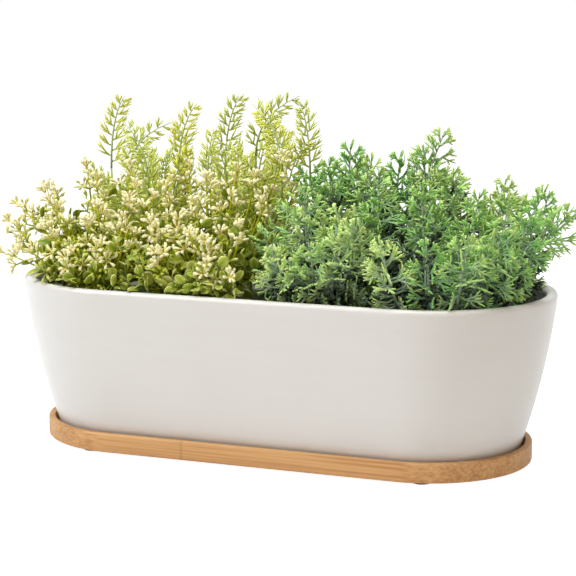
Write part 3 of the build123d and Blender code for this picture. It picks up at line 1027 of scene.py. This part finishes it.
def needled_limbs(start, middle, end, side, tint, forks, thick, needle_size, tone, rng,
                  radii=blunt, flat=1.0):
    """Limbs with needles, which leave at each fork's share and angle, in the plane of limb and side.

    tone holds the map values at a limb's root and end and at the ends of its needles."""
    share, angle, size = (np.array(column) for column in zip(*forks))
    lead = start.shape[:-1]
    normal = unit(np.cross(end - start, side))
    limb_radii, needle_radii = (thick * np.array(shares) for shares in radii)
    limbs = tubes(curves(start, middle, end, 4), limb_radii, 4, (tone[0], tone[1]), tint, flat, normal)
    root, ahead = bow(start[..., None, :], middle[..., None, :], end[..., None, :], share)
    angle = np.radians(angle + rng.uniform(-7, 7, (*lead, len(share))))[..., None]
    away = np.cos(angle) * ahead + np.sin(angle) * side[..., None, :]
    away = unit(away + rng.normal(0, 0.08, away.shape))
    size = (needle_size[..., None] * size * rng.uniform(0.8, 1.15, (*lead, len(share))))[..., None]
    point = root + size * unit(away + 0.15 * ahead)
    paths = curves(root, root + 0.5 * size * away, point, 3)
    limb_root, limb_end, needle_end = (np.broadcast_to(value, lead)[..., None] for value in tone)
    low = limb_root + (limb_end - limb_root) * share
    high = needle_end * rng.uniform(0.85, 1.0, low.shape)
    tints = np.broadcast_to(tint[..., None], low.shape)
    normals = np.broadcast_to(normal[..., None, :], point.shape)
    needles = tubes(paths, needle_radii, 4, (low, high), tints, flat, normals)
    return joined([limbs, needles])


print("needled limbs ready")

# %% [markdown]
# ## Fern bushes
#
# The light yellow-green fronds stand behind the flowers. Each has a slender grey-green rib that arches a
# little, and pinnae that alternate along it and fork into a few short needles close to the rib. The tall
# fronds are the ones that the photograph shows, and shorter ones fill the bush under them.

# %% Fern tips from the photograph
frond_length = 0.044
frond_reach = 0.0125
# Each tip as for the flowers, with the frond's lean to the right in degrees
fern_tips = {
    "left": [
        (0.58, 0.10, 82, -20), (0.22, 0.26, 58, -35), (0.80, 0.43, 82, 40),
        (0.44, 0.60, 96, 12), (0.89, 0.77, 92, 16), (0.70, 0.94, 78, -8),
    ],
    "middle": [
        (0.60, 0.10, 95, -24), (0.15, 0.26, 80, 6), (0.96, 0.43, 99, 38),
        (0.30, 0.60, 98, 13), (0.85, 0.77, 93, -8), (0.60, 0.94, 82, 20),
    ],
}
frond_turns = [26, -14, 18, 22, 8, -20]
more_fronds = [(16, (0.62, 0.84), anywhere), (26, (0.3, 0.62), anywhere), (18, (0.12, 0.45), near_rim)]
print({name: len(tips) for name, tips in fern_tips.items()}, "main fronds")

# %% Feather the fronds
# Each fork: its share of the way along the limb, its angle in degrees and its share of the limb's size
pinna_forks = [(0.1, 30, 0.72), (0.22, -30, 0.7), (0.5, 26, 0.46)]
pinna_span = (0.06, 0.9)
pinna_rise = 44
pinna_curl = 0.3
pinna_thick = 0.00054
pinna_flat = 0.5
pinna_tones = (0.1, 0.5, 1.0)


def arched_sprigs(room, tips, length):
    """Base and tip of fronds that lean to the right: base = tip - length (sin lean, 0, cos lean)."""
    tip = np.column_stack([room_place(room, tips[:, :2]), pot_rim + tips[:, 2]])
    lean = np.radians(tips[:, 3])
    return tip - length * np.column_stack([np.sin(lean), 0 * lean, np.cos(lean)]), tip


def frond_tubes(base, middle, tip, turn, rng, pinnae=15):
    """Flat fronds: pinnae leave the rib to alternate sides at the pinna rise.

    A pinna's reach is the frond's reach times 1.15 - 0.7 share, so it is shorter towards the tip."""
    count = len(base)
    length = np.linalg.norm(tip - base, axis=1)[:, None]
    share = np.linspace(*pinna_span, pinnae) + np.zeros((count, 1))
    point, ahead = bow(base[:, None], middle[:, None], tip[:, None], share)
    left = unit(np.cross(ahead, [0.0, 1.0, 0.0]))
    turn = np.radians(turn)[:, None, None]
    across = np.cos(turn) * left + np.sin(turn) * np.cross(ahead, left)
    sign = np.where(np.arange(pinnae) % 2, 1.0, -1.0)[:, None]
    reach = frond_reach / frond_length * length * (1.15 - 0.7 * share)
    size = (reach * rng.uniform(0.85, 1.1, share.shape))[..., None]
    rise = np.radians(pinna_rise + rng.uniform(-8, 8, share.shape))[..., None]
    end = point + size * (np.cos(rise) * ahead + np.sin(rise) * sign * across)
    curled = rise + pinna_curl
    bend = point + 0.5 * size * (np.cos(curled) * ahead + np.sin(curled) * sign * across)
    side = unit(across * sign)
    tint = np.broadcast_to(rng.random((count, 1)), share.shape)
    return needled_limbs(point, bend, end, side, tint, pinna_forks, pinna_thick, size[..., 0],
                         pinna_tones, rng, pointed, pinna_flat)


print("fronds ready")

# %% Grow the fern bushes
fern_seed = 31
frond_arch = [0.0, 0.3, 0.7]
fern_stem_thick = 0.0013
for number, (name, tips) in enumerate(fern_tips.items()):
    rng = np.random.default_rng(fern_seed + number)
    stem = (columns[number], row_y)
    room = (column_rooms[number], (fern_front, room_y))
    body = f"fern_{name}"
    main = np.array(tips) * [1, 1, millimetre, 1]
    base, tip = arched_sprigs(room, main, frond_length)
    grown = np.concatenate([more_tips(main, *growth, room, rng) for growth in more_fronds])
    base, tip = np.concatenate([[base, tip], leaning_sprigs(stem, room, grown, frond_length)], axis=1)
    middle = base + (tip - base) * frond_arch
    branches = branch_tubes(stem, base, middle, tip, fern_stem_thick, rng)
    planted(f"fern_branches_{name}", branches, room, fern_branch_plastic, body,
            f"fern_stems_{name}")
    turn = np.concatenate([np.resize(frond_turns, len(main)), rng.uniform(-50, 50, len(grown))])
    fronds = frond_tubes(base, middle, tip, turn, rng)
    planted(f"fern_feathers_{name}", fronds, room, fern_plastic, body, f"fern_fronds_{name}")

# %% [markdown]
# ## Juniper bushes
#
# The right half is four bushes of needle sprays. Each spray is a flat fan: limbs leave its rib to the left
# and to the right, one in seven towards the front, and each forks into two arms with stiff needles. Limbs
# are frosted grey at the root and misted yellow-green at the tips, and the roots of the lower limbs are
# darkened towards near-black green as painted shade inside the bush. Small sprays fill the gaps low down in
# that near-black green, which is painted shade too. The tallest spray leans to the right as it does in the
# photograph, and every spray has its own tint, from vivid green to frosted yellow-green.

# %% Juniper tips from the photograph
juniper_tips = {
    "front_middle": [
        (0.05, 0.78, 46), (0.06, 0.34, 36), (0.26, 0.06, 28), (0.60, 0.05, 31), (0.95, 0.18, 42),
        (0.36, 0.58, 56), (0.70, 0.52, 46), (0.95, 0.82, 53),
    ],
    "front_right": [
        (0.20, 0.70, 58), (0.08, 0.18, 34), (0.36, 0.08, 35), (0.58, 0.14, 38), (0.74, 0.42, 46),
        (0.96, 0.84, 43), (0.50, 0.90, 54), (0.84, 0.70, 48),
    ],
    "back_middle": [
        (0.10, 0.12, 62), (0.46, 0.40, 74), (0.92, 0.46, 70), (0.84, 0.08, 63), (0.06, 0.56, 60),
        (0.22, 0.94, 54), (0.62, 0.96, 50), (0.94, 0.88, 56),
    ],
    "back_right": [
        (0.20, 0.36, 83), (0.32, 0.08, 61), (0.62, 0.08, 52), (0.84, 0.16, 54), (0.94, 0.44, 44),
        (0.10, 0.90, 58), (0.46, 0.94, 54), (0.74, 0.74, 52),
    ],
}
more_main_sprays = {
    "front_middle": [(0.42, 0.06, 22)],
    "front_right": [(0.66, 0.34, 30), (0.80, 0.62, 26)],
    "back_middle": [(0.28, 0.30, 66), (0.66, 0.42, 68), (0.40, 0.66, 68)],
    "back_right": [(0.80, 0.30, 30), (0.08, 0.36, 72)],
}
tall_sprays = [(6, (0.75, 1.0), anywhere)]
low_sprays = [(24, (0.3, 0.7), anywhere), (9, (0.08, 0.3), near_rim)]
print({name: len(tips) for name, tips in juniper_tips.items()}, "main sprays")

# %% Fan out the sprays
spray_length = 0.048
spray_reach = 0.016
spray_fullness = 1.06
limb_turns = [0, 180, 50, 130, -36, 216, 90]
limb_twists = [90, 90, 90, 90, 90, 90, 0]
limb_span = (0.05, 0.93)
limb_rise = -6
limb_rise_gain = 68
limb_sag = 0.2
limb_thick = 0.00058
arm_thick = 0.9 * limb_thick
limb_forks = [(0.6, 34, 0.4), (0.72, -34, 0.36)]
limb_arms = [(0.32, 36, 0.64), (0.44, -36, 0.6)]
arm_forks = [(0.42, -36, 0.5), (0.6, 34, 0.44)]


def spray_tubes(base, middle, tip, facing, tint, tones, limbs, rng):
    """Flat sprays: limbs to the left and to the right, and one in seven towards the facing.

    A limb's reach is the full reach times 0.22 + 0.78 sin(pi (0.25 + 0.75 share)). Two arms fork off it, in
    its own plane."""
    count = len(base)
    length = np.linalg.norm(tip - base, axis=1)[:, None]
    share = np.linspace(*limb_span, limbs) + np.zeros((count, 1))
    point, ahead = bow(base[:, None], middle[:, None], tip[:, None], share)
    level = unit(np.cross(ahead, facing[:, None]))
    upright = np.cross(level, ahead)
    turn = (np.radians(np.resize(limb_turns, limbs)) + rng.uniform(-0.3, 0.3, share.shape))[..., None]
    outward = np.cos(turn) * level + np.sin(turn) * upright
    around = np.cross(ahead, outward)
    swell = 0.22 + 0.78 * np.sin(np.pi * (0.25 + 0.75 * share))
    reach = spray_reach / spray_length * length * swell
    size = (reach * rng.uniform(0.85, 1.15, share.shape) * spray_fullness)[..., None]
    rise = np.radians(limb_rise + limb_rise_gain * share + rng.uniform(-10, 10, share.shape))[..., None]
    end = point + size * (np.cos(rise) * outward + np.sin(rise) * ahead)
    sagging = rise - limb_sag
    bend = point + 0.5 * size * (np.cos(sagging) * outward + np.sin(sagging) * ahead)
    twist = np.radians(np.resize(limb_twists, limbs))[:, None] + rng.uniform(-0.4, 0.4, turn.shape)
    side = unit(np.cos(twist) * around + np.sin(twist) * ahead)
    tints = np.clip(tint[:, None] + rng.normal(0, 0.08, share.shape), 0, 1)
    tone = [low + (high - low) * share for low, high in tones]
    shapes = [needled_limbs(point, bend, end, side, tints, limb_forks, limb_thick, size[..., 0], tone, rng)]
    for place, angle, arm_share in limb_arms:
        root, along = bow(point, bend, end, np.full(share.shape, place))
        angle = np.radians(angle + rng.uniform(-7, 7, share.shape))[..., None]
        way = np.cos(angle) * along + np.sin(angle) * side
        beside = np.cos(angle) * side - np.sin(angle) * along
        arm_bend = root + 0.5 * arm_share * size * way
        arm_end = root + arm_share * size * unit(way + 0.15 * along)
        arm_tone = [tone[0] + (tone[1] - tone[0]) * place, tone[1], tone[2]]
        shapes.append(needled_limbs(root, arm_bend, arm_end, beside, tints, arm_forks, arm_thick,
                                    arm_share * size[..., 0], arm_tone, rng))
    return joined(shapes)


print("sprays ready")

# %% Grow the juniper bushes
juniper_seed = 51
juniper_stem_thick = 0.0016
juniper_places = {
    "front_middle": (2, -1), "front_right": (3, -1), "back_middle": (2, 1), "back_right": (3, 1),
}
juniper_tints = {"front_middle": 0.65, "front_right": 0.45, "back_middle": 0.25, "back_right": 0.5}
tint_spread = 0.28
facing_spread = 0.9
upright_share = 0.5
tallest_lean = 0.018
tall_limbs = 17
low_limbs = 8
# Tones at a limb's root, at its end and at its needles' ends, from the bottom to the top of a spray. The
# lower limbs' roots and all of the low sprays sit near the needle ramp's near-black first stop: painted shade
# deep in the bush.
misted_and_shaded_tones = [(0.03, 0.3), (0.32, 0.74), (0.72, 1.0)]
painted_shade_tones = [(0.0, 0.0), (0.02, 0.05), (0.04, 0.08)]
for number, (name, tips) in enumerate(juniper_tips.items()):
    rng = np.random.default_rng(juniper_seed + number)
    column, row = juniper_places[name]
    stem = (columns[column], row * row_y)
    room = (column_rooms[column], (-room_y, 0) if row < 0 else (0, room_y))
    body = f"juniper_{name}"
    main = np.array(tips + more_main_sprays[name]) * [1, 1, millimetre]
    tall = np.concatenate([main] + [more_tips(main, *growth, room, rng) for growth in tall_sprays])
    grown = np.concatenate([tall] + [more_tips(main, *growth, room, rng) for growth in low_sprays])
    base, tip = leaning_sprigs(stem, room, grown, spray_length)
    base = stood_up(base, tip, upright_share)
    if name == "back_right":
        base[0, 0] = tip[0, 0] - tallest_lean
    middle = (base + tip) / 2 + rng.normal(0, 0.002, base.shape)
    branches = branch_tubes(stem, base, middle, tip, juniper_stem_thick, rng)
    planted(f"juniper_branches_{name}", branches, room, juniper_branch_plastic, body,
            f"juniper_stems_{name}")
    tint = np.clip(juniper_tints[name] + rng.normal(0, tint_spread, len(base)), 0, 1)
    turn = rng.uniform(-facing_spread, facing_spread, len(base))
    facing = np.column_stack([np.sin(turn), -np.cos(turn), 0 * turn])
    sprays = []
    groups = [(slice(0, len(tall)), tall_limbs, misted_and_shaded_tones), (slice(len(tall), None), low_limbs, painted_shade_tones)]
    for group, limbs, tones in groups:
        way = (base[group], middle[group], tip[group], facing[group])
        sprays.append(spray_tubes(*way, tint[group], tones, limbs, rng))
    planted(f"juniper_needles_{name}", joined(sprays), room, needle_plastic, body,
            f"juniper_sprays_{name}")
